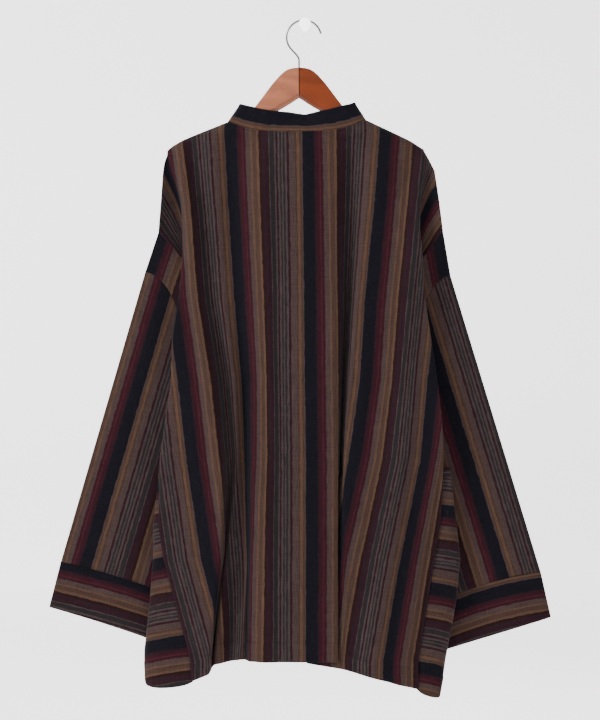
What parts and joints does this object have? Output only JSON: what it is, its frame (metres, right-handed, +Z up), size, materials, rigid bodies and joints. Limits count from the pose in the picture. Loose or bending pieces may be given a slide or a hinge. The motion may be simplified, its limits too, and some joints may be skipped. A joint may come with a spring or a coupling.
{
  "type": "striped kurta on a wooden hanger",
  "caption": "Loose straight kurta in striped handloom cloth, with a band collar, wide cuffed sleeves and side gores, hung on a wooden hanger from a round wall peg.",
  "frame": {"origin": "centre of the wall peg's back face, on the wall", "axes": "+Z up, +Y into the wall, so the garment's back faces -Y, and +X to the right as its back is seen"},
  "size_m": [0.8649, 0.0787, 1.1646],
  "materials": {
    "striped_cloth": "matt slubbed handloom, stripes along the length",
    "cross_cloth": "the same cloth, cut across the stripes",
    "hanger_wood": "glossy varnish, orange brown",
    "hook_steel": "bright wire",
    "peg_paint": "white, satin"
  },
  "bodies": {
    "root": {"back_panel": "striped_cloth", "front_panel": "striped_cloth", "collar_band": "cross_cloth", "upper_sleeve_left": "striped_cloth", "upper_sleeve_right": "striped_cloth", "sleeve_left": "striped_cloth", "sleeve_right": "striped_cloth", "cuff_left": "cross_cloth", "cuff_right": "cross_cloth", "side_gore_left": "cross_cloth", "side_gore_right": "cross_cloth", "hanger_arm_left": "hanger_wood", "hanger_arm_right": "hanger_wood", "hanger_hook": "hook_steel", "wall_peg": "peg_paint"}
  },
  "joints": []
}
